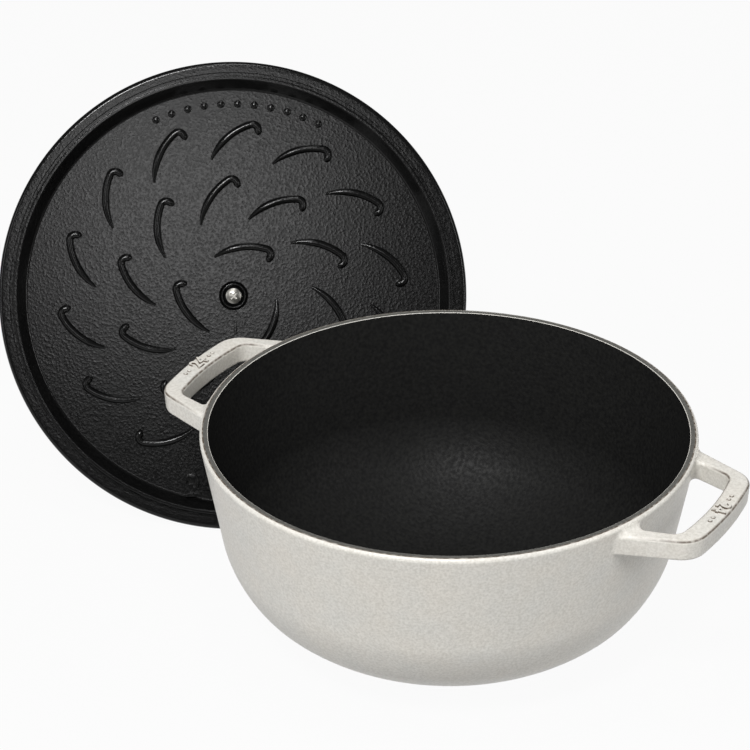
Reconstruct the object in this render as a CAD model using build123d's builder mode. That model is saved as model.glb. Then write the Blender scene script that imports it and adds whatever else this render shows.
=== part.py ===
from build123d import *
from math import asin, cos, degrees, radians, sin, sqrt, tan
import os

# A round-bottomed enamelled cast-iron cocotte with its lid standing on edge behind it.
# Millimetres. The origin is the centre of the pot's foot, on the floor, and +Z is up.
# The two loop handles lie along X.

# Pot
pot_height = 117.0
rim_diameter = 251.3
wall_thickness = 4.6
wall_draft = 10.0  # degrees that the upper wall leans in towards the foot
straight_wall_depth = 57.9
shoulder_radius = 56.4
shoulder_end_angle = 41.5  # degrees from upright where the shoulder runs into the belly
foot_diameter = 84.0
foot_height = 1.0
foot_edge_chamfer = 0.5
rim_roll_radius = 2.2
rim_inner_chamfer = 0.4

# Loop handles, cast with the pot
handle_reach = 28.55  # from the rim out to the middle of the grip
handle_width = 68.6  # between the outer corners
handle_bow = 3.0  # how far the grip bows out past its corners
handle_splay = 19.5  # degrees that each arm opens towards the wall
handle_corner_radius = 14.3
grip_width = 10.9
arm_width = 4.0  # between an outer and an inner corner, along the grip
finger_gap_splay = 15.4
finger_gap_corner_radius = 6.8
handle_thickness = 11.6
handle_drop = 4.5  # from the rim down to the top of the handles
handle_draft = 4.0
handle_edge_radius = 1.8
handle_root_radius = 3.5

# Lid. Heights are from its seat plane, towards the side with the knob.
lid_overhang = 2.35  # beyond the pot's rim, all round
lid_edge_thickness = 5.0
lid_edge_chamfer = 1.5
lid_plate_thickness = 4.6
lid_field_rise = 3.5  # from the seat plane up to the flat underside
lid_shoulder_width = 8.0
lid_shoulder_radius = 6.0
ridge_height = 3.0
ridge_crest_width = 1.8
ridge_root_width = 7.4
ridge_clearance = 0.6  # between the locating ridge and the inside of the rim
ridge_edge_chamfer = 0.4
ridge_root_radius = 1.5
relief_width = 1.4
relief_depth = 0.8
knob_pad_diameter = 32.0
knob_pad_height = 1.2

# Boss round the screw on the lid's underside
boss_diameter = 12.7
boss_height = 0.9
boss_wall = 0.8
moat_width = 1.5
moat_depth = 0.6

# Hooked drip ribs on the lid's underside
rib_width = 3.5
rib_height = 2.0
rib_reach = 29.7  # from the head to the tail
rib_tail_angle = 31.7  # degrees between the tail and the line from head to tail
rib_back_radius = 34.2
rib_back_turn = 50.3
rib_hook_radius = 3.1
rib_hook_turn = 154.6
rib_root_depth = 0.6  # how deep each rib is rooted in the plate
rib_sections = 10
# Each ring of ribs: heads' distance from the centre, number, first head's angle, chord's angle
outer_rib_distance = 92.4
outer_rib_count = 14
outer_rib_start = 106.4
outer_rib_angle = 132.8
middle_rib_distance = 62.2
middle_rib_count = 10
middle_rib_start = 87.9
middle_rib_angle = 142.4
inner_rib_distance = 29.5
inner_rib_count = 3
inner_rib_start = 47.7
inner_rib_angle = 132.9

# Knob and its screw
knob_diameter = 38.0
knob_height = 26.0
knob_base_diameter = 23.0
knob_base_height = 2.4
knob_neck_diameter = 14.0
knob_neck_height = 7.0
knob_flare_height = 15.0  # where the neck has opened into the head
knob_edge_chamfer = 1.6
screw_diameter = 4.0
screw_head_diameter = 8.4
screw_head_edge = 1.1
screw_head_dome = 1.0
screw_grip = 11.0  # length of thread inside the knob
screw_hole_clearance = 0.25
thread_clearance = 0.05
screw_end_clearance = 1.5
cross_width = 1.1
cross_span = 4.6
cross_depth = 1.4
cross_angle = 45.0

# How the lid stands: on its edge on the floor, leaning back, its underside facing forward
lid_lean = 27.52  # degrees back from upright
lid_facing = -57.24  # plan direction that the underside faces, from +X
lid_gap = 1.2  # between the lid's ridge and the pot
lid_overlap = 22.1  # how far the lid's edge reaches past the pot's axis, along the lid

os.makedirs("parts", exist_ok=True)

# Bowl
wall_lean = radians(wall_draft)
rim_radius = rim_diameter / 2
rim_inside_radius = rim_radius - wall_thickness / cos(wall_lean)
wall_end_radius = rim_radius - straight_wall_depth * tan(wall_lean)
wall_end_height = pot_height - straight_wall_depth
shoulder_centre_radius = wall_end_radius - shoulder_radius * cos(wall_lean)
shoulder_centre_height = wall_end_height + shoulder_radius * sin(wall_lean)
shoulder_end = radians(shoulder_end_angle)
shoulder_end_height = shoulder_centre_height - shoulder_radius * sin(shoulder_end)
belly_radius = (shoulder_end_height - foot_height) / (1 - sin(shoulder_end))


def bowl_section(inset):
    """Half a section through the bowl's outer surface, or through one parallel to it."""
    wall_end = (wall_end_radius - inset * cos(wall_lean), wall_end_height + inset * sin(wall_lean))
    wall = Line((rim_radius - inset / cos(wall_lean), pot_height), wall_end)
    shoulder_turn = wall_draft - shoulder_end_angle
    shoulder = JernArc(wall @ 1, wall % 1, shoulder_radius - inset, shoulder_turn)
    belly_turn = shoulder_end_angle - 90
    belly = JernArc(shoulder @ 1, shoulder % 1, belly_radius - inset, belly_turn)
    Polyline(belly @ 1, (0, foot_height + inset), (0, pot_height), wall @ 0)


# Plan of one handle: a loop with rounded corners, open towards the wall
handle_top = pot_height - handle_drop
handle_root = rim_inside_radius * 0.8  # inside the bowl, where its hollow is cut away
handle_outer = rim_radius + handle_reach
finger_gap_width = handle_width - 2 * arm_width


def loop_plan(outer, width, splay, corner_radius):
    """A plan outline that widens towards the wall, with its far side bowed out."""
    corner = outer - handle_bow
    half = width / 2
    root_half = half + (corner - handle_root) * tan(radians(splay))
    with BuildSketch(Plane.XY.offset(handle_top)) as plan:
        with BuildLine():
            Polyline((corner, -half), (handle_root, -root_half), (handle_root, root_half), (corner, half))
            ThreePointArc((corner, half), (outer, 0), (corner, -half))
        make_face()
        fillet(plan.vertices().group_by(Axis.X)[-1], corner_radius)
    return plan.sketch


handle_plan = loop_plan(handle_outer, handle_width, handle_splay, handle_corner_radius)
finger_gap_plan = loop_plan(
    handle_outer - grip_width, finger_gap_width, finger_gap_splay, finger_gap_corner_radius
)


with BuildPart() as handle:
    with BuildSketch(Plane.XY.offset(handle_top)):
        add(handle_plan)
        add(finger_gap_plan, mode=Mode.SUBTRACT)
    extrude(amount=-handle_thickness)
    sides = handle.faces().filter_by(Axis.Z, reverse=True).sort_by(Axis.X)[2:]
    draft(sides, Plane.XY.offset(handle_top), -handle_draft)
    top_and_bottom = handle.edges().group_by(Axis.Z)[0] + handle.edges().group_by(Axis.Z)[-1]
    fillet(top_and_bottom.filter_by(Axis.Y, reverse=True), handle_edge_radius)

with BuildPart() as pot:
    with BuildSketch(Plane.XZ):
        with BuildLine():
            bowl_section(0)
        make_face()
    revolve(axis=Axis.Z)
    with BuildSketch(Plane.XY):
        Circle(foot_diameter / 2)
    extrude(amount=pot_height / 2)
    chamfer(pot.edges().sort_by(Axis.Z)[0], foot_edge_chamfer)
    add(handle.part)
    mirror(handle.part, about=Plane.YZ)
    roots = pot.edges().filter_by(
        lambda edge: abs(edge.center().Z - handle_top + handle_thickness / 2) < handle_thickness
        and Vector(edge.center().X, edge.center().Y).length < rim_radius
    )
    fillet(roots, handle_root_radius)
    with BuildSketch(Plane.XZ):
        with BuildLine():
            bowl_section(wall_thickness)
        make_face()
    revolve(axis=Axis.Z, mode=Mode.SUBTRACT)
    rim = pot.edges().filter_by(GeomType.CIRCLE).group_by(Axis.Z)[-1].sort_by(SortBy.LENGTH)
    fillet(rim[-1], rim_roll_radius)
    chamfer(rim[0], rim_inner_chamfer)

pot.part.label = "pot"
export_step(pot.part, "parts/pot.step")

# Lid. The planes follow the way it stands.
lid_radius = rim_radius + lid_overhang
lean = radians(lid_lean)
facing = radians(lid_facing)
lid_lowest_level = lid_edge_thickness - lid_edge_chamfer  # the corner that touches the floor
lid_centre_height = lid_radius * cos(lean) + lid_lowest_level * sin(lean)
lid_sideways = lid_radius - lid_overlap
ridge_outside = rim_inside_radius - ridge_clearance
ridge_crest_outside = ridge_outside - ridge_height * tan(wall_lean)


def clear_radius(height):
    """The bowl's outer radius at a height on its wall or shoulder, with the lid's gap added."""
    if height > wall_end_height:
        return rim_radius - (pot_height - height) * tan(wall_lean) + lid_gap / cos(wall_lean)
    drop = shoulder_centre_height - height
    return shoulder_centre_radius + sqrt((shoulder_radius + lid_gap) ** 2 - drop**2)


def clear_distance(turn):
    """How far behind the pot's axis the lid's centre is when one point of its ridge just clears."""
    rise = ridge_crest_outside * sin(turn)
    aside = ridge_crest_outside * cos(turn) - lid_sideways
    reach = clear_radius(lid_centre_height + rise * cos(lean) + ridge_height * sin(lean))
    return sqrt(reach**2 - aside**2) - rise * sin(lean) + ridge_height * cos(lean)


# The ridge's points that face the pot lie from 60 degrees below the level of the lid's centre up
lid_behind = max(clear_distance(radians(turn)) for turn in range(-60, 1))
forward = Vector(cos(facing), sin(facing), 0)
along = Vector(-sin(facing), cos(facing), 0)
lid_centre = forward * -lid_behind - along * lid_sideways + Vector(0, 0, lid_centre_height)
lid_inward = forward * cos(lean) + Vector(0, 0, sin(lean))
seat_plane = Plane(lid_centre, x_dir=along, z_dir=lid_inward)
underside_plane = seat_plane.offset(-lid_field_rise)
section_plane = Plane(lid_centre, x_dir=along, z_dir=along.cross(lid_inward * -1))
lid_axis = Axis(lid_centre, lid_inward * -1)

plate_top = lid_field_rise + lid_plate_thickness
pad_top = plate_top + knob_pad_height
pad_radius = knob_pad_diameter / 2
ridge_crest_inside = ridge_crest_outside - ridge_crest_width
relief_outside = ridge_outside + relief_width
field_radius = ridge_outside - ridge_root_width
shoulder_outside = relief_outside - lid_edge_thickness / 2
screw_hole_radius = screw_diameter / 2 + screw_hole_clearance
boss_radius = boss_diameter / 2
boss_level = lid_field_rise - boss_height
moat_level = lid_field_rise + moat_depth
moat_outside = boss_radius + moat_width

with BuildPart() as drip_rib:
    tail_angle = radians(180 + rib_tail_angle)
    with BuildLine() as rib_path:
        back = JernArc((rib_reach, 0), (cos(tail_angle), sin(tail_angle)), rib_back_radius, -rib_back_turn)
        JernArc(back @ 1, back % 1, rib_hook_radius, -rib_hook_turn)
    rib_line = rib_path.wire()
    for station in range(rib_sections + 1):
        share = station / rib_sections
        size = min(1, 0.35 + 2 * share, 0.35 + 4 * (1 - share))
        across = Plane(rib_line @ share, x_dir=(0, 0, 1), z_dir=rib_line % share)
        with BuildSketch(across):
            foot_half_width = size * rib_width / 2 * (1 + rib_root_depth / (size * rib_height))
            with BuildLine():
                Polyline(
                    (size * rib_height, 0),
                    (-rib_root_depth, foot_half_width),
                    (-rib_root_depth, -foot_half_width),
                    close=True,
                )
            make_face()
    loft(ruled=True)

with BuildPart() as lid:
    with BuildSketch(section_plane):
        with BuildLine():
            FilletPolyline(
                (screw_hole_radius, pad_top),
                (pad_radius, pad_top),
                (pad_radius + knob_pad_height, plate_top),
                (shoulder_outside - lid_shoulder_width, plate_top),
                (shoulder_outside, lid_edge_thickness),
                (lid_radius - lid_edge_chamfer, lid_edge_thickness),
                radius=(0, 0, 2 * lid_shoulder_radius, lid_shoulder_radius),
            )
            Polyline(
                (lid_radius - lid_edge_chamfer, lid_edge_thickness),
                (lid_radius, lid_lowest_level),
                (lid_radius, lid_edge_chamfer),
                (lid_radius - lid_edge_chamfer, 0),
                (relief_outside, 0),
                (relief_outside, relief_depth),
                (ridge_outside, relief_depth),
                (ridge_outside, 0),
                (ridge_crest_outside, ridge_edge_chamfer - ridge_height),
                (ridge_crest_outside - ridge_edge_chamfer, -ridge_height),
                (ridge_crest_inside + ridge_edge_chamfer, -ridge_height),
            )
            FilletPolyline(
                (ridge_crest_inside + ridge_edge_chamfer, -ridge_height),
                (ridge_crest_inside, ridge_edge_chamfer - ridge_height),
                (field_radius, lid_field_rise),
                (moat_outside, lid_field_rise),
                radius=(0, ridge_root_radius),
            )
            Polyline(
                (moat_outside, lid_field_rise),
                (boss_radius, moat_level),
                (boss_radius, boss_level),
                (boss_radius - boss_wall, boss_level),
                (boss_radius - boss_wall, lid_field_rise),
                (screw_hole_radius, lid_field_rise),
                (screw_hole_radius, pad_top),
            )
        make_face()
    revolve(axis=lid_axis)
    with Locations(underside_plane.location):
        with PolarLocations(outer_rib_distance, outer_rib_count, outer_rib_start):
            add(drip_rib.part, rotation=(0, 0, outer_rib_angle))
        with PolarLocations(middle_rib_distance, middle_rib_count, middle_rib_start):
            add(drip_rib.part, rotation=(0, 0, middle_rib_angle))
        with PolarLocations(inner_rib_distance, inner_rib_count, inner_rib_start):
            add(drip_rib.part, rotation=(0, 0, inner_rib_angle))

lid.part.label = "lid"
export_step(lid.part, "parts/lid.step")

# Knob, on the lid's axis
knob_radius = knob_diameter / 2
knob_base_radius = knob_base_diameter / 2
thread_hole_radius = screw_diameter / 2 + thread_clearance
thread_hole_end = pad_top + screw_grip + screw_end_clearance
knob_top = pad_top + knob_height

with BuildPart() as knob:
    with BuildSketch(section_plane):
        with BuildLine():
            Polyline(
                (0, thread_hole_end),
                (thread_hole_radius, thread_hole_end),
                (thread_hole_radius, pad_top),
                (knob_base_radius, pad_top),
                (knob_base_radius, pad_top + knob_base_height),
                (knob_neck_diameter / 2, pad_top + knob_neck_height),
                (knob_radius, pad_top + knob_flare_height),
                (knob_radius, knob_top - knob_edge_chamfer),
                (knob_radius - knob_edge_chamfer, knob_top),
                (0, knob_top),
                close=True,
            )
        make_face()
    revolve(axis=lid_axis)

knob.part.label = "knob"
export_step(knob.part, "parts/knob.step")

# Knob screw: its head sits in the boss on the lid's underside
head_radius = screw_head_diameter / 2
head_edge = lid_field_rise - screw_head_edge
head_top = head_edge - screw_head_dome
dome_radius = (head_radius**2 + screw_head_dome**2) / (2 * screw_head_dome)
cross_plane = Plane(section_plane.from_local_coords((0, head_top)), x_dir=along, z_dir=lid_inward)

with BuildPart() as knob_screw:
    with BuildSketch(section_plane):
        with BuildLine():
            JernArc((0, head_top), (1, 0), dome_radius, degrees(asin(head_radius / dome_radius)))
            Polyline(
                (head_radius, head_edge),
                (head_radius, lid_field_rise),
                (screw_diameter / 2, lid_field_rise),
                (screw_diameter / 2, pad_top + screw_grip),
                (0, pad_top + screw_grip),
                (0, head_top),
            )
        make_face()
    revolve(axis=lid_axis)
    with BuildSketch(cross_plane):
        Rectangle(cross_span, cross_width, rotation=cross_angle)
        Rectangle(cross_width, cross_span, rotation=cross_angle)
    extrude(amount=-cross_depth, mode=Mode.SUBTRACT)

knob_screw.part.label = "knob_screw"
export_step(knob_screw.part, "parts/knob_screw.step")
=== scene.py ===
import math

import bmesh
import bpy
from mathutils import Matrix, Vector


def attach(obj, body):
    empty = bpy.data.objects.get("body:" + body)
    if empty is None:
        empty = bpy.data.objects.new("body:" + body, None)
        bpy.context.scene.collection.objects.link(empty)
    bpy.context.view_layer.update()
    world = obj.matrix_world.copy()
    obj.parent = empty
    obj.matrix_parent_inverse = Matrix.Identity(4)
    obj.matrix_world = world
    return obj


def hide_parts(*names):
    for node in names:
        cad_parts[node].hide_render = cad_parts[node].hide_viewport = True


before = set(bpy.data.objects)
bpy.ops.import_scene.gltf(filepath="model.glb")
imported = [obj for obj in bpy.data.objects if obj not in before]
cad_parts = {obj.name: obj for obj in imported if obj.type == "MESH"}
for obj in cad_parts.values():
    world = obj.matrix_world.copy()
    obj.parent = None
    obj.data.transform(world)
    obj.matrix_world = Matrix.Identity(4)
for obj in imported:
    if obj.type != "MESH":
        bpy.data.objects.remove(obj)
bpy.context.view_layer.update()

mm = 0.001
mergeGap = 0.00001  # m; corners nearer than this become one
sharpAngle = 35  # degrees; an edge that turns more than this stays crisp
scene = bpy.context.scene


# Camera at the photograph's viewing angle, on a long lens

cameraSettings = {
    "lens": 138.37,
    "sensor": 36,
    "clipEnd": 20,
    "place": (0.58714, -1.10826, 0.84479),
    "azimuth": 29.6,
    "elevation": 29.136,
    "roll": -0.262,
}


def makeCamera(settings):
    data = bpy.data.cameras.new("camera")
    data.lens = settings["lens"]
    data.sensor_width = settings["sensor"]
    data.clip_end = settings["clipEnd"]
    eye = bpy.data.objects.new("camera", data)
    turn = (
        Matrix.Rotation(math.radians(settings["azimuth"]), 4, "Z")
        @ Matrix.Rotation(math.radians(90 - settings["elevation"]), 4, "X")
        @ Matrix.Rotation(math.radians(settings["roll"]), 4, "Z")
    )
    eye.matrix_world = Matrix.Translation(settings["place"]) @ turn
    scene.collection.objects.link(eye)
    scene.camera = eye


makeCamera(cameraSettings)
print("camera placed")


# Small helpers for colours, nodes and meshes


def linearColour(hexColour):
    # sRGB hex to the linear values that a shader takes
    channels = [int(hexColour[i:i + 2], 16) / 255 for i in (1, 3, 5)]
    return [c / 12.92 if c <= 0.04045 else ((c + 0.055) / 1.055) ** 2.4 for c in channels] + [1]


def grey(value):
    # a plain number as a ramp's stop, for roughness and masks
    return (value, value, value, 1)


def fillSockets(tree, node, values=None, links=None):
    # sockets by name or number: plain values, and the outputs that are linked in
    for socket, value in (values or {}).items():
        node.inputs[socket].default_value = value
    for socket, source in (links or {}).items():
        tree.links.new(source, node.inputs[socket])


def addNode(tree, kind, values=None, links=None, stops=(), **settings):
    # a node with its settings, its sockets and, on a ramp, its two (position, colour) stops. A
    # colour Mix takes its factor at socket 0 and its colours at 6 and 7, and gives socket 2.
    node = tree.nodes.new(kind)
    for key, value in settings.items():
        setattr(node, key, value)
    fillSockets(tree, node, values, links)
    for index, (position, colour) in enumerate(stops):
        node.color_ramp.elements[index].position = position
        node.color_ramp.elements[index].color = colour
    return node


def newMaterial(name, values):
    # a material, its tree and its shader, which gets the values that are the same all over
    material = bpy.data.materials.new(name)
    material.use_nodes = True
    shader = material.node_tree.nodes["Principled BSDF"]
    fillSockets(material.node_tree, shader, values)
    return material, material.node_tree, shader


def finishPiece(name, shape, body, materials, place=None):
    # a bmesh becomes a smooth piece that rides on its body
    if place is not None:
        bmesh.ops.transform(shape, matrix=place, verts=shape.verts)
    mesh = bpy.data.meshes.new(name)
    shape.to_mesh(mesh)
    shape.free()
    mesh.shade_smooth()
    mesh.set_sharp_from_angle(angle=math.radians(sharpAngle))
    piece = bpy.data.objects.new(name, mesh)
    scene.collection.objects.link(piece)
    for material in materials:
        mesh.materials.append(material)
    # flats keep their own normals up to the roundings beside them
    piece.modifiers.new("flats", "WEIGHTED_NORMAL").keep_sharp = True
    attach(piece, body)
    return piece


def turnedShell(corners, steps, closed=False):
    # a chain of (radius, height, rounding, segments) corners in mm, rounded and spun round Z
    shape = bmesh.new()
    points = [Vector((corner[0] * mm, 0, corner[1] * mm)) for corner in corners]
    chain = [shape.verts.new(point) for point in points]
    for start, end in zip(chain, chain[1:]):
        shape.edges.new((start, end))
    if closed:
        shape.edges.new((chain[-1], chain[0]))
    for index, corner in enumerate(corners):
        rounding, segments = corner[2:]
        if not rounding:
            continue
        before = points[index] - points[index - 1]
        after = points[(index + 1) % len(points)] - points[index]
        bmesh.ops.bevel(
            shape, geom=[chain[index]], offset=rounding * mm * math.tan(before.angle(after) / 2),
            offset_type="OFFSET", segments=segments, profile=0.5, affect="VERTICES", material=-1,
        )
    bmesh.ops.spin(
        shape, geom=shape.verts[:] + shape.edges[:], cent=(0, 0, 0), axis=(0, 0, 1),
        angle=2 * math.pi, steps=steps, use_merge=True,
    )
    bmesh.ops.remove_doubles(shape, verts=shape.verts, dist=mergeGap)
    bmesh.ops.recalc_face_normals(shape, faces=shape.faces)
    return shape


def joinShapes(first, second, place=None):
    # the second bmesh is copied into the first and freed
    if place is not None:
        bmesh.ops.transform(second, matrix=place, verts=second.verts)
    mesh = bpy.data.meshes.new("joining")
    second.to_mesh(mesh)
    second.free()
    first.from_mesh(mesh)
    bpy.data.meshes.remove(mesh)


numeralStyle = {
    "shareOfSize": 0.7,  # a numeral's height over the font's size
    "edgeShare": 0.28,  # the rounding of its edges over its relief
    "edgeSteps": 2,
    "curveSteps": 6,
    "heavier": 0.1,  # mm that a stroke gains on each side
}


def raisedNumerals(text, height, relief, place):
    # plain numerals as a bmesh, standing on their place's XY plane, with rounded edges
    curve = bpy.data.curves.new("numerals", "FONT")
    curve.body = text
    curve.size = height * mm / numeralStyle["shareOfSize"]
    curve.align_x = "CENTER"
    curve.align_y = "CENTER"
    curve.extrude = relief * mm / 2
    curve.bevel_depth = relief * numeralStyle["edgeShare"] * mm
    curve.bevel_resolution = numeralStyle["edgeSteps"]
    curve.offset = numeralStyle["heavier"] * mm
    curve.resolution_u = numeralStyle["curveSteps"]
    holder = bpy.data.objects.new("numerals", curve)
    mesh = bpy.data.meshes.new_from_object(holder)
    mesh.transform(place @ Matrix.Translation((0, 0, relief * mm / 2)))
    shape = bmesh.new()
    shape.from_mesh(mesh)
    bmesh.ops.remove_doubles(shape, verts=shape.verts, dist=mergeGap)
    bpy.data.objects.remove(holder)
    bpy.data.curves.remove(curve)
    bpy.data.meshes.remove(mesh)
    return shape


def roundPip(radius, height):
    # a low round dot with its middle at the origin
    pip = bmesh.new()
    bmesh.ops.create_uvsphere(pip, u_segments=20, v_segments=10, radius=radius * mm)
    bmesh.ops.scale(pip, vec=(1, 1, height / radius), verts=pip.verts)
    return pip


# Materials, with the sizes of their patterns in mm

offWhite = {
    "mottleDark": "#C3BFB5",
    "mottleLight": "#F0EDE6",
    "mottleSize": 1.3,  # twice the real mottle's, which is too fine to show
    "tintWarm": "#DFDAD1",
    "tintCool": "#D9D8D3",
    "tintSize": 22,
    # brown where the enamel is thin, also painted as shade on the raised marks' sides
    "wornAndShaded": "#54473A",
    "wornAndShadedBreaks": 2.6,
    "roughness": 0.44,
    "coat": 0.12,
    "coatRoughness": 0.28,
    "bumpStrength": 0.2,
    "bumpDepth": 0.2,
}


def makeOffWhiteEnamel(look):
    # vitreous enamel, sprayed and fired: a satin-gloss warm white with a fine mottle. It is thin
    # over the casting's sharp edges, where brown shows through in broken lines.
    # the same brown on the sides of the raised marks is partly painted shade
    material, tree, shader = newMaterial("offWhiteEnamel", {
        "Roughness": look["roughness"],
        "Coat Weight": look["coat"],
        "Coat Roughness": look["coatRoughness"],
    })
    place = addNode(tree, "ShaderNodeTexCoord").outputs["Object"]
    mottle = addNode(
        tree, "ShaderNodeTexNoise",
        {"Scale": 1 / (look["mottleSize"] * mm), "Detail": 3, "Roughness": 0.6},
        {"Vector": place},
    ).outputs["Fac"]
    cloud = addNode(
        tree, "ShaderNodeTexNoise",
        {"Scale": 1 / (look["tintSize"] * mm), "Detail": 2, "Roughness": 0.5},
        {"Vector": place},
    ).outputs["Fac"]
    fine = addNode(
        tree, "ShaderNodeValToRGB", links={"Fac": mottle},
        stops=[(0.34, linearColour(look["mottleDark"])), (0.66, linearColour(look["mottleLight"]))],
    ).outputs["Color"]
    tint = addNode(
        tree, "ShaderNodeValToRGB", links={"Fac": cloud},
        stops=[(0.3, linearColour(look["tintWarm"])), (0.7, linearColour(look["tintCool"]))],
    ).outputs["Color"]
    enamel = addNode(
        tree, "ShaderNodeMix", {0: 0.5}, {6: fine, 7: tint}, data_type="RGBA",
    ).outputs[2]
    # where the enamel is thin, and painted shade on the raised marks' sides, in lengths that break
    # off and start again
    wornAndShaded = addNode(tree, "ShaderNodeAttribute", attribute_name="wornAndShaded").outputs["Fac"]
    patches = addNode(
        tree, "ShaderNodeTexNoise",
        {"Scale": 1 / (look["wornAndShadedBreaks"] * mm), "Detail": 3, "Roughness": 0.6},
        {"Vector": place},
    ).outputs["Fac"]
    breaks = addNode(
        tree, "ShaderNodeValToRGB", links={"Fac": patches},
        stops=[(0.34, grey(0.45)), (0.54, grey(1))],
    ).outputs["Color"]
    thinAndShaded = addNode(
        tree, "ShaderNodeMath", None, {0: wornAndShaded, 1: breaks}, operation="MULTIPLY", use_clamp=True,
    ).outputs[0]
    surface = addNode(
        tree, "ShaderNodeMix", {7: linearColour(look["wornAndShaded"])}, {0: thinAndShaded, 6: enamel},
        data_type="RGBA",
    ).outputs[2]
    bump = addNode(
        tree, "ShaderNodeBump",
        {"Strength": look["bumpStrength"], "Distance": look["bumpDepth"] * mm}, {"Height": mottle},
    ).outputs["Normal"]
    fillSockets(tree, shader, links={"Base Color": surface, "Normal": bump})
    return material


bareIron = {
    "dark": "#5A5955",
    "light": "#7C7B76",
    "grainSize": 0.9,  # coarser than real grinding marks, which are too fine to show
    "metallic": 0.3,
    "roughness": 0.4,
}


def makeBareIron(look):
    # cast iron, ground flat and left bare under a thin clear glaze: dull mid grey
    material, tree, shader = newMaterial(
        "bareGroundIron", {"Metallic": look["metallic"], "Roughness": look["roughness"]}
    )
    place = addNode(tree, "ShaderNodeTexCoord").outputs["Object"]
    grain = addNode(
        tree, "ShaderNodeTexNoise",
        {"Scale": 1 / (look["grainSize"] * mm), "Detail": 3, "Roughness": 0.6},
        {"Vector": place},
    ).outputs["Fac"]
    tone = addNode(
        tree, "ShaderNodeValToRGB", links={"Fac": grain},
        stops=[(0.3, linearColour(look["dark"])), (0.7, linearColour(look["light"]))],
    ).outputs["Color"]
    fillSockets(tree, shader, links={"Base Color": tone})
    return material


# The sand's grain is about 0.4 mm, too fine to show. What is drawn is the coarser relief that
# the enamel leaves of it.
blackEnamel = {
    "inside": {
        "grainSize": 1.8, "bumpDepth": 0.42, "roughness": 0.52, "gloss": 0.12,
        "dark": "#131313", "light": "#212120",
    },
    "lid": {
        "grainSize": 1.4, "bumpDepth": 0.17, "roughness": 0.17, "gloss": 0.22,
        "dark": "#060606", "light": "#121212",
    },
    "waveSize": 5,  # grains to one of the wider waves under them
    "waveShare": 0.15,
    "pitsDuller": 0.08,
    "crestsShinier": 0.05,
    "bumpStrength": 0.5,
}


def makeBlackEnamel(name, look):
    # matte black enamel over sand-cast iron: near black, with the sand's grain showing through
    material, tree, shader = newMaterial(name, {"Specular IOR Level": look["gloss"]})
    place = addNode(tree, "ShaderNodeTexCoord").outputs["Object"]
    grain = addNode(
        tree, "ShaderNodeTexNoise",
        {"Scale": 1 / (look["grainSize"] * mm), "Detail": 1.5, "Roughness": 0.45},
        {"Vector": place},
    ).outputs["Fac"]
    waves = addNode(
        tree, "ShaderNodeTexNoise",
        {
            "Scale": 1 / (look["grainSize"] * blackEnamel["waveSize"] * mm),
            "Detail": 2, "Roughness": 0.5,
        },
        {"Vector": place},
    ).outputs["Fac"]
    tone = addNode(
        tree, "ShaderNodeValToRGB", links={"Fac": grain},
        stops=[(0.3, linearColour(look["dark"])), (0.75, linearColour(look["light"]))],
    ).outputs["Color"]
    # the grain's pits shine less than its crests
    shine = addNode(
        tree, "ShaderNodeValToRGB", links={"Fac": grain},
        stops=[
            (0.35, grey(look["roughness"] + blackEnamel["pitsDuller"])),
            (0.65, grey(look["roughness"] - blackEnamel["crestsShinier"])),
        ],
    ).outputs["Color"]
    height = addNode(
        tree, "ShaderNodeMix", {0: blackEnamel["waveShare"]}, {6: grain, 7: waves},
        data_type="RGBA",
    ).outputs[2]
    bump = addNode(
        tree, "ShaderNodeBump",
        {"Strength": blackEnamel["bumpStrength"], "Distance": look["bumpDepth"] * mm},
        {"Height": height},
    ).outputs["Normal"]
    fillSockets(tree, shader, links={"Base Color": tone, "Roughness": shine, "Normal": bump})
    return material


steel = {
    "satin": {"colour": "#B9B7B2", "roughness": 0.24},
    "bright": {"colour": "#8E8C87", "roughness": 0.34},
    "marksSize": 0.5,  # coarser than real turning marks, which are too fine to show
    "marksShinier": 0.06,
    "marksDuller": 0.08,
}


def makeSteel(name, look):
    # plain steel, turned and polished: bright, with faint turning marks
    material, tree, shader = newMaterial(
        name, {"Base Color": linearColour(look["colour"]), "Metallic": 1}
    )
    place = addNode(tree, "ShaderNodeTexCoord").outputs["Object"]
    marks = addNode(
        tree, "ShaderNodeTexNoise",
        {"Scale": 1 / (steel["marksSize"] * mm), "Detail": 2, "Roughness": 0.5},
        {"Vector": place},
    ).outputs["Fac"]
    shine = addNode(
        tree, "ShaderNodeValToRGB", links={"Fac": marks},
        stops=[
            (0.3, grey(look["roughness"] - steel["marksShinier"])),
            (0.7, grey(look["roughness"] + steel["marksDuller"])),
        ],
    ).outputs["Color"]
    fillSockets(tree, shader, links={"Roughness": shine})
    return material


offWhiteEnamel = makeOffWhiteEnamel(offWhite)
bareGroundIron = makeBareIron(bareIron)
potBlackEnamel = makeBlackEnamel("blackEnamelInside", blackEnamel["inside"])
lidBlackEnamel = makeBlackEnamel("blackEnamelLid", blackEnamel["lid"])
satinSteel = makeSteel("satinSteel", steel["satin"])
brightSteel = makeSteel("brightScrewSteel", steel["bright"])
print("materials made")


# Pot: the bowl is turned, and the two handles keep the casting's own shape. Sizes are in mm.

pot = {
    "height": 117.0,
    "rimRadius": 125.65,
    "wall": 4.6,
    "draft": 10.0,
    "straightDepth": 57.9,
    "shoulderRadius": 56.4,
    "shoulderEnd": 41.5,
    "handleTop": 112.5,
    "footRadius": 42.0,
    "footHeight": 1.0,  # of the bowl's lowest point
    "footDepth": 2.2,  # of the foot's disc, which reaches into the bowl's wall
    "footRound": 0.5,
    "rimRoll": 2.2,
    "enamelEdge": 123.35,  # radius where the enamel stops on the rim
    "enamelRound": 0.15,
    "enamelStep": 0.1,
    "landDrop": 0.12,  # the bare land lies this far below the enamel
    "lipRound": 0.6,
    "steps": 288,
}
near = 0.02  # mm; how closely a face is told to lie on a level, a radius or the wall
nearlyUpright = -0.05  # a face's normal may lean this little downwards and still be inside


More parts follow.
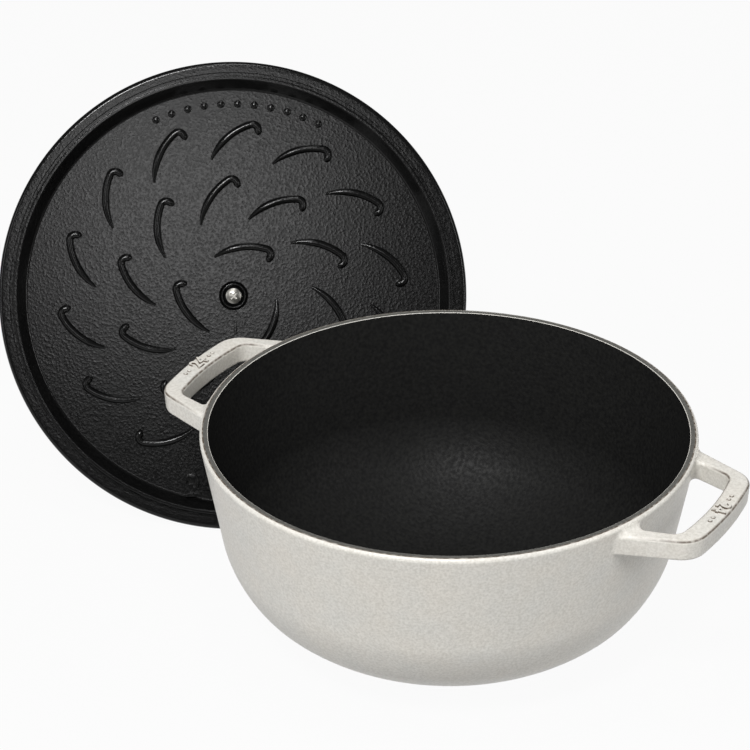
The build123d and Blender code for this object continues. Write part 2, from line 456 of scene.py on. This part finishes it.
def bowlCorners(inset):
    # the wall, shoulder and belly of a surface parallel to the outside, from the top down
    draft, end = math.radians(pot["draft"]), math.radians(pot["shoulderEnd"])
    wallEndRadius = pot["rimRadius"] - pot["straightDepth"] * math.tan(draft)
    wallEndHeight = pot["height"] - pot["straightDepth"]
    shoulder = pot["shoulderRadius"]
    endHeight = wallEndHeight - shoulder * (math.sin(end) - math.sin(draft))
    endRadius = wallEndRadius - shoulder * (math.cos(draft) - math.cos(end))
    belly = (endHeight - pot["footHeight"]) / (1 - math.sin(end)) - inset
    endRadius -= inset * math.cos(end)
    endHeight += inset * math.sin(end)
    shoulder -= inset
    upper = shoulder * math.tan((end - draft) / 2)
    lower = belly * math.tan((math.pi / 2 - end) / 2)
    return [
        (endRadius + upper * math.sin(end), endHeight + upper * math.cos(end), shoulder, 14),
        (endRadius - lower * math.sin(end), endHeight - lower * math.cos(end), belly, 20),
        (0, pot["footHeight"] + inset, 0, 0),
    ]


def makePot():
    draft = math.radians(pot["draft"])
    insideRadius = pot["rimRadius"] - pot["wall"] / math.cos(draft)
    land = pot["height"] - pot["landDrop"]
    midWall = pot["footHeight"] + 0.5 * pot["wall"]
    corners = bowlCorners(0)[::-1] + [
        (pot["rimRadius"], pot["height"], pot["rimRoll"], 8),
        (pot["enamelEdge"], pot["height"], pot["enamelRound"], 3),
        (pot["enamelEdge"] - pot["enamelStep"], land, 0, 0),
        (insideRadius, land, pot["lipRound"], 5),
    ] + bowlCorners(pot["wall"])
    shape = turnedShell(corners, pot["steps"])
    # zones: 0 off-white outside, 1 bare land, 2 black inside
    for face in shape.faces:
        middle = face.calc_center_median()
        radius = math.hypot(middle.x, middle.y) / mm
        inwards = Vector((-middle.x, -middle.y, abs(middle.z)))
        if middle.z > (land - near) * mm and radius < pot["enamelEdge"] + near:
            face.material_index = 1
        elif (
            face.normal.dot(inwards) > 0 and face.normal.z > nearlyUpright
            and radius < insideRadius + near / 2 and middle.z > midWall * mm
        ):
            face.material_index = 2
    foot = turnedShell([
        (0, 0, 0, 0),
        (pot["footRadius"], 0, pot["footRound"], 4),
        (pot["footRadius"], pot["footDepth"], 0, 0),
        (0, pot["footDepth"], 0, 0),
    ], pot["steps"])
    joinShapes(shape, foot)
    return shape


handleCut = {
    "lowest": 90,  # the handles' faces lie between these two heights
    "highest": 115.5,
    "mergeGap": 0.002,
    "rootShrink": 0.985,  # their open roots are drawn inwards by this, into the wall
}


def wallDistance(point):
    # how far a point stands outside the bowl's wall, in mm
    draft = math.radians(pot["draft"])
    radius = math.hypot(point.x, point.y) / mm
    wallRadius = pot["rimRadius"] - (pot["height"] - point.z / mm) * math.tan(draft)
    return (radius - wallRadius) * math.cos(draft)


def castHandles():
    # the casting's own mesh, merged, without the bowl's wall, and closed inside that wall
    shape = bmesh.new()
    shape.from_mesh(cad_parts["pot"].data)
    bmesh.ops.remove_doubles(shape, verts=shape.verts, dist=handleCut["mergeGap"] * mm)
    spare = [
        face for face in shape.faces
        if not handleCut["lowest"] < face.calc_center_median().z / mm < handleCut["highest"]
        or max(wallDistance(vert.co) for vert in face.verts) < near
    ]
    bmesh.ops.delete(shape, geom=spare, context="FACES")
    rootEdges = [edge for edge in shape.edges if edge.is_boundary]
    grown = bmesh.ops.extrude_edge_only(shape, edges=rootEdges)["geom"]
    buried = [item for item in grown if isinstance(item, bmesh.types.BMVert)]
    shrink = handleCut["rootShrink"]
    bmesh.ops.scale(shape, vec=(shrink, shrink, 1), verts=buried)
    openEdges = [edge for edge in shape.edges if edge.is_boundary]
    bmesh.ops.holes_fill(shape, edges=openEdges, sides=0)
    return shape


handleMarks = {
    "size": "24",
    "sizeHeight": 6.8,
    "relief": 0.9,
    "sink": 0.15,  # the numerals start this far inside the grip
    "distance": 148.75,
    "pips": (-13, -9.5, 9.5, 13),
    "pipRadius": 1.2,
    "pipHeight": 0.7,
}


def addHandleMarks(shape):
    # the pot's size in plain numerals between round pips on top of each grip
    marks = handleMarks
    base = pot["handleTop"] - marks["sink"]
    for side in (-1, 1):
        across = side * marks["distance"]
        place = Matrix.Translation(Vector((across, 0, base)) * mm)
        turn = Matrix.Rotation(math.radians(-90 * side), 4, "Z")
        numerals = raisedNumerals(
            marks["size"], marks["sizeHeight"], marks["relief"], place @ turn
        )
        joinShapes(shape, numerals)
        for along in marks["pips"]:
            spot = Matrix.Translation(Vector((across, along, pot["handleTop"])) * mm)
            joinShapes(shape, roundPip(marks["pipRadius"], marks["pipHeight"]), spot)


# where the enamel thins on the grips' edges and the rim, and painted shade on the raised marks'
# sides
wearAndShade = {
    "handleFrom": 131,  # mm from the pot's axis, where the handles are clear of the wall
    "handleAbove": 100,
    "markBand": 0.25,  # the raised marks' sides start this far below the grip's top
    "markSide": 0.6,  # and their normals' height is less than this
    "edgeSlope": 0.62,  # the normal's height along the middle of a worn edge
    "edgeSpread": 0.28,
    "edgeStrength": 1.3,
    "rimDepth": 0.4,
    "rimInside": 0.2,  # the band of wear beside the enamel's edge on the rim
    "rimOutside": 0.6,
}


def wornAndShadedShare(place, normal):
    # how much the enamel thins at a point, with painted shade on the raised marks' sides, from 0 to
    # 1
    radius = math.hypot(place.x, place.y) / mm
    height = place.z / mm
    markFrom = pot["handleTop"] - wearAndShade["markBand"]
    rimFrom = pot["enamelEdge"] - wearAndShade["rimInside"]
    rimTo = pot["enamelEdge"] + wearAndShade["rimOutside"]
    # the raised marks' sides, all round: thin enamel with painted shade
    if radius > wearAndShade["handleFrom"] and height > markFrom and normal.z < wearAndShade["markSide"]:
        return 1
    if radius > wearAndShade["handleFrom"] and height > wearAndShade["handleAbove"]:
        offEdge = abs(normal.z - wearAndShade["edgeSlope"]) / wearAndShade["edgeSpread"]
        return min(1, max(0, wearAndShade["edgeStrength"] - offEdge))
    if height > pot["height"] - wearAndShade["rimDepth"] and rimFrom < radius < rimTo:
        return 1
    return 0


def markWornAndShadedEdges(piece):
    # wear along the handles' upper edges and the rim, and wear with painted shade on their marks'
    # sides, for the enamel to read
    mesh = piece.data
    wornAndShaded = mesh.attributes.new("wornAndShaded", "FLOAT", "POINT")
    for index, vert in enumerate(mesh.vertices):
        wornAndShaded.data[index].value = wornAndShadedShare(vert.co, vert.normal)


potShape = makePot()
handleShape = castHandles()
openCount = sum(edge.is_boundary for edge in handleShape.edges)
print("handle faces", len(handleShape.faces), "open edges", openCount)
joinShapes(potShape, handleShape)
addHandleMarks(potShape)
potMaterials = [offWhiteEnamel, bareGroundIron, potBlackEnamel]
potPiece = finishPiece("potBody", potShape, "pot", potMaterials)
markWornAndShadedEdges(potPiece)
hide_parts("pot")
print("pot made")


# Lid: a turned plate with its ridge, groove and screw ring, and the hooked ribs. Local Z points
# out of the underside, X to the right along the floor and Y up the leaning plate.

lid = {
    "radius": 127.95,
    "edgeThickness": 5.0,
    "edgeRadius": 2.4,
    "floorRadius": 128.0,  # of the solid, whose lowest corner touches the floor
    "edgeChamfer": 1.5,
    "fieldRise": 3.5,
    "plate": 4.6,
    "ridgeOutside": 120.38,
    "ridgeHeight": 3.0,
    "ridgeDraft": 10,
    "crestWidth": 1.8,
    "crestRounds": (0.55, 0.7),
    "rootWidth": 7.4,
    "rootRound": 1.8,
    "grooveWidth": 1.4,  # of the relief groove outside the ridge
    "grooveDepth": 0.8,
    "seatRound": 0.35,
    "domeWidth": 8,  # of the slope from the outside's flat to the edge
    "domeRound": 12,
    "shoulderRound": 6,
    "padRise": 1.2,
    "padRadius": 16,
    "padRound": 0.8,
    "screwHole": 2.25,
    "lean": 27.52,
    "facing": -57.24,
    "behind": 151.03,
    "sideways": 105.9,
    "steps": 288,
}

screwRing = {  # a thin raised ring round the screw between two V-shaped grooves
    "outerGroove": (8.0, 7.1),
    "outerRound": 0.3,
    "ring": (6.75, 6.1),
    "ringHeight": 0.7,
    "ringRound": 0.25,
    "innerGroove": (5.3, 4.35),
    "grooveDepth": 1.0,
}


def lidPlace():
    lean, facing = math.radians(lid["lean"]), math.radians(lid["facing"])
    forward = Vector((math.cos(facing), math.sin(facing), 0))
    along = Vector((-math.sin(facing), math.cos(facing), 0))
    inward = forward * math.cos(lean) + Vector((0, 0, math.sin(lean)))
    lowest = lid["edgeThickness"] - lid["edgeChamfer"]
    height = lid["floorRadius"] * math.cos(lean) + lowest * math.sin(lean)
    centre = -forward * lid["behind"] - along * lid["sideways"] + Vector((0, 0, height))
    turn = Matrix((along, inward.cross(along), inward)).transposed().to_4x4()
    return Matrix.Translation(centre * mm) @ turn


def makeLidPlate():
    # from the screw hole out over the outside, round the edge and back in over the underside
    field = -lid["fieldRise"]
    back = field - lid["plate"]
    pad = back - lid["padRise"]
    ridge = lid["ridgeOutside"]
    crest = ridge - lid["ridgeHeight"] * math.tan(math.radians(lid["ridgeDraft"]))
    seat = ridge + lid["grooveWidth"]
    shoulder = seat - lid["edgeThickness"] / 2
    grooveFloor = field - screwRing["grooveDepth"]
    ringTop = field + screwRing["ringHeight"]
    return turnedShell([
        (lid["screwHole"], pad, 0, 0),
        (lid["padRadius"], pad, lid["padRound"], 3),
        (lid["padRadius"] + lid["padRise"], back, lid["padRound"], 3),
        (shoulder - lid["domeWidth"], back, lid["domeRound"], 6),
        (shoulder, -lid["edgeThickness"], lid["shoulderRound"], 5),
        (lid["radius"], -lid["edgeThickness"], lid["edgeRadius"], 7),
        (lid["radius"], 0, lid["edgeRadius"], 7),
        (seat, 0, lid["seatRound"], 3),
        (seat, -lid["grooveDepth"], 0, 0),
        (ridge, -lid["grooveDepth"], 0, 0),
        (crest, lid["ridgeHeight"], lid["crestRounds"][0], 4),
        (crest - lid["crestWidth"], lid["ridgeHeight"], lid["crestRounds"][1], 4),
        (ridge - lid["rootWidth"], field, lid["rootRound"], 5),
        (screwRing["outerGroove"][0], field, screwRing["outerRound"], 2),
        (screwRing["outerGroove"][1], grooveFloor, 0, 0),
        (screwRing["ring"][0], ringTop, screwRing["ringRound"], 2),
        (screwRing["ring"][1], ringTop, screwRing["ringRound"], 2),
        (screwRing["innerGroove"][0], grooveFloor, 0, 0),
        (screwRing["innerGroove"][1], field, 0, 0),
        (lid["screwHole"], field, 0, 0),
    ], lid["steps"], closed=True)


ribs = {
    "width": 3.4,
    "height": 2.1,
    "skirt": 0.4,  # the soft foot of each rib spreads this far
    "sink": 0.4,  # and reaches this far into the plate
    "reach": 29.7,
    "tailAngle": 31.7,
    "backRadius": 34.2,
    "backTurn": 50.3,
    "backSteps": 16,
    "hookRadius": 3.1,
    "hookTurn": 154.6,
    "hookSteps": 12,
    "tailSize": 0.3,
    "tailShare": 0.5,  # of the back, over which the rib grows to its full size
    "endSteps": 3,  # of the hook, over which its end rounds off
    "endTaper": 0.8,
    "crownSteps": 9,
    "crownFoot": 0.12,  # share of the height at which the crown leaves the skirt
    "crownPower": 0.8,
    "rings": [  # the heads' distance, how many, the first one's angle, the chord's angle
        (92.4, 14, 106.4, 132.8),
        (62.2, 10, 87.9, 142.4),
        (29.5, 3, 47.7, 132.9),
    ],
}


def ribSection():
    # the rib's cross-section as (across, up): a low rounded crown on a skirt
    half, skirt, sink = ribs["width"] / 2, ribs["skirt"], ribs["sink"]
    foot = ribs["crownFoot"]
    outline = [(-half - skirt, -sink), (-half - skirt, 0)]
    for step in range(ribs["crownSteps"]):
        turn = math.pi * (step + 0.5) / ribs["crownSteps"]
        crown = foot + (1 - foot) * math.sin(turn) ** ribs["crownPower"]
        outline.append((-half * math.cos(turn), ribs["height"] * crown))
    return outline + [(half + skirt, 0), (half + skirt, -sink)]


def makeRib():
    # one hooked rib with its head at the origin, its tail towards +X and its foot at Z 0: the
    # section is spun along the back and then round the hook, and resized at each step
    shape = bmesh.new()
    angle = math.radians(180 + ribs["tailAngle"])
    heading = Vector((math.cos(angle), math.sin(angle), 0))
    side = Vector((heading.y, -heading.x, 0))
    middle = Vector((ribs["reach"], 0, 0))
    ring = [
        shape.verts.new((middle + side * across + Vector((0, 0, up))) * mm)
        for across, up in ribSection()
    ]
    section = shape.faces.new(ring)
    size = 1.0

    def resize(verts, centre, target):
        nonlocal size
        bmesh.ops.scale(
            shape, vec=(target / size,) * 3, space=Matrix.Translation(-centre * mm), verts=verts
        )
        size = target

    resize(ring, middle, ribs["tailSize"])
    grown = [section]
    for part in ("back", "hook"):
        steps = ribs[part + "Steps"]
        centre = middle + side * ribs[part + "Radius"]
        turn = math.radians(-ribs[part + "Turn"] / steps)
        rotation = Matrix.Rotation(turn, 4, "Z")
        for step in range(1, steps + 1):
            spun = bmesh.ops.spin(
                shape, geom=grown, cent=centre * mm, axis=(0, 0, 1), angle=turn, steps=1
            )
            grown = [item for item in spun["geom_last"] if isinstance(item, bmesh.types.BMFace)]
            middle = centre + rotation @ (middle - centre)
            side = rotation @ side
            if part == "back":
                share = min(1, step / steps / ribs["tailShare"])
                growth = (1 - ribs["tailSize"]) * math.sin(share * math.pi / 2)
                target = ribs["tailSize"] + growth
            else:
                left = max(0, step - steps + ribs["endSteps"]) / ribs["endSteps"]
                target = math.sqrt(1 - ribs["endTaper"] * left * left)
            resize(grown[0].verts, middle, target)
    bmesh.ops.recalc_face_normals(shape, faces=shape.faces)
    return shape


def addRibs(plate):
    single = makeRib()
    mesh = bpy.data.meshes.new("rib")
    single.to_mesh(mesh)
    single.free()
    field = Matrix.Translation((0, 0, -lid["fieldRise"] * mm))
    for distance, count, first, chord in ribs["rings"]:
        for index in range(count):
            place = (
                field
                @ Matrix.Rotation(math.radians(first + index * 360 / count), 4, "Z")
                @ Matrix.Translation((distance * mm, 0, 0))
                @ Matrix.Rotation(math.radians(chord), 4, "Z")
            )
            rib = bmesh.new()
            rib.from_mesh(mesh)
            joinShapes(plate, rib, place)
    bpy.data.meshes.remove(mesh)


lidMarks = {
    "numerals": [  # the text, its height, its relief and its place on the plate
        ("24", 12, 1.6, (-21.0, -103.9)),
        ("1", 6, 1.1, (0.5, -17.8)),
    ],
    "sink": 0.15,  # the numerals start this far inside the plate
    "pips": 11,
    "pipRadius": 2.1,
    "pipHeight": 1.1,
    "pipDistance": 105,
    "pipFirst": 62,
    "pipLast": 112,
}


def addLidMarks(plate):
    # plain numerals low on the plate and under the screw, and a bow of round pips at the top
    field = -lid["fieldRise"]
    for text, height, relief, place in lidMarks["numerals"]:
        spot = Matrix.Translation(Vector((*place, field - lidMarks["sink"])) * mm)
        joinShapes(plate, raisedNumerals(text, height, relief, spot))
    first, span = lidMarks["pipFirst"], lidMarks["pipLast"] - lidMarks["pipFirst"]
    for index in range(lidMarks["pips"]):
        angle = math.radians(first + index / (lidMarks["pips"] - 1) * span)
        outwards = Matrix.Translation(Vector((lidMarks["pipDistance"], 0, field)) * mm)
        pip = roundPip(lidMarks["pipRadius"], lidMarks["pipHeight"])
        joinShapes(plate, pip, Matrix.Rotation(angle, 4, "Z") @ outwards)


lidShape = makeLidPlate()
addRibs(lidShape)
addLidMarks(lidShape)
print("lid faces", len(lidShape.faces))
lidPiece = finishPiece("lidCasting", lidShape, "lid", [lidBlackEnamel], lidPlace())
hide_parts("lid")
print("lid made")


# Knob: turned steel on the far side of the lid. Its screw keeps the solid's own shape.

knob = {
    "radius": 19.0,
    "baseRadius": 11.5,
    "baseHeight": 2.4,
    "baseRounds": (0.5, 1.0),
    "neckRadius": 7.0,
    "neckHeight": 6.8,
    "neckRound": 7,
    "gripFrom": 15.2,
    "gripTo": 24.6,
    "gripRounds": (4, 2.6),
    "height": 26,
    "crownInset": 6,
    "crownRound": 30,
    "holeRadius": 2.05,
    "holeDepth": 12.5,
    "steps": 160,
}


def makeKnob():
    # from the screw's blind hole out over the base, along the neck and over the crown
    pad = -lid["fieldRise"] - lid["plate"] - lid["padRise"]
    grip = knob["radius"]
    return turnedShell([
        (0, pad - knob["holeDepth"], 0, 0),
        (knob["holeRadius"], pad - knob["holeDepth"], 0, 0),
        (knob["holeRadius"], pad, 0, 0),
        (knob["baseRadius"], pad, knob["baseRounds"][0], 3),
        (knob["baseRadius"], pad - knob["baseHeight"], knob["baseRounds"][1], 4),
        (knob["neckRadius"], pad - knob["neckHeight"], knob["neckRound"], 10),
        (grip, pad - knob["gripFrom"], knob["gripRounds"][0], 8),
        (grip, pad - knob["gripTo"], knob["gripRounds"][1], 8),
        (grip - knob["crownInset"], pad - knob["height"], knob["crownRound"], 8),
        (0, pad - knob["height"], 0, 0),
    ], knob["steps"])


knobPiece = finishPiece("knobTurned", makeKnob(), "lid", [satinSteel], lidPlace())
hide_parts("knob")
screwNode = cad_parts["knob_screw"]
screwNode.data.materials.clear()
screwNode.data.materials.append(brightSteel)
print("knob and screw made")


# Studio: a dim white surround, a pale floor and soft boxes. Places and sizes are in metres.

studio = {
    "surround": 0.12,
    "floorColour": "#A4A4A4",  # which the object's underside sees
    "floorRoughness": 0.9,
    "floorShade": 0.05,  # how much of the floor's own shading shows in its white
    "floorSize": 15,
    "aim": (-0.05, 0, 0.08),
    "lamps": {
        "besideCamera": {"place": (0.589, -1.189, 0.996), "size": (0.3, 0.3), "power": 1.8},
        "front": {"place": (0.25, -1.20, 1.60), "size": (0.35, 0.35), "power": 30},
        "left": {"place": (-0.95, -1.25, 0.70), "size": (0.3, 0.9), "power": 4.5},
        "right": {"place": (1.40, 0.10, 0.70), "size": (0.2, 0.9), "power": 5},
        "top": {"place": (0.05, -0.2, 1.8), "size": (0.35, 0.35), "power": 6},
    },
}
white = linearColour("#FFFFFF")


def makeSurround():
    world = bpy.data.worlds.new("studio")
    scene.world = world
    world.use_nodes = True
    background = world.node_tree.nodes["Background"]
    fillSockets(
        world.node_tree, background, {"Color": white, "Strength": studio["surround"]}
    )


def makeFloorMaterial():
    # matte painted board: white where it is looked at, with a little of its own shading, so
    # that the object's shadow stays, and grey in the light that it throws back
    material, tree, shader = newMaterial("paleFloor", {
        "Base Color": linearColour(studio["floorColour"]),
        "Roughness": studio["floorRoughness"],
        "Specular IOR Level": 0,
    })
    glow = addNode(tree, "ShaderNodeEmission", {"Color": white, "Strength": 1})
    ray = addNode(tree, "ShaderNodeLightPath").outputs
    seen = addNode(
        tree, "ShaderNodeMath", None, {0: ray["Is Camera Ray"], 1: ray["Is Glossy Ray"]},
        operation="MAXIMUM",
    ).outputs[0]
    shown = addNode(
        tree, "ShaderNodeMath", None, {0: seen, 1: ray["Is Transmission Ray"]},
        operation="MAXIMUM",
    ).outputs[0]
    share = addNode(
        tree, "ShaderNodeMath", {1: 1 - studio["floorShade"]}, {0: shown}, operation="MULTIPLY",
    ).outputs[0]
    mixed = addNode(
        tree, "ShaderNodeMixShader",
        links={0: share, 1: shader.outputs["BSDF"], 2: glow.outputs["Emission"]},
    ).outputs[0]
    fillSockets(tree, tree.nodes["Material Output"], links={"Surface": mixed})
    return material


def makeFloor():
    shape = bmesh.new()
    bmesh.ops.create_grid(shape, x_segments=1, y_segments=1, size=studio["floorSize"])
    mesh = bpy.data.meshes.new("floor")
    shape.to_mesh(mesh)
    shape.free()
    floor = bpy.data.objects.new("floor", mesh)
    mesh.materials.append(makeFloorMaterial())
    scene.collection.objects.link(floor)


def makeLamps():
    for name, lamp in studio["lamps"].items():
        light = bpy.data.lights.new(name, "AREA")
        light.shape = "RECTANGLE"
        light.size, light.size_y = lamp["size"]
        light.energy = lamp["power"]
        box = bpy.data.objects.new(name, light)
        aim = Vector(studio["aim"]) - Vector(lamp["place"])
        turn = aim.to_track_quat("-Z", "Y").to_matrix().to_4x4()
        box.matrix_world = Matrix.Translation(lamp["place"]) @ turn
        box.visible_camera = False
        scene.collection.objects.link(box)


makeSurround()
makeFloor()
makeLamps()
scene.view_settings.view_transform = "Standard"
print("studio made")
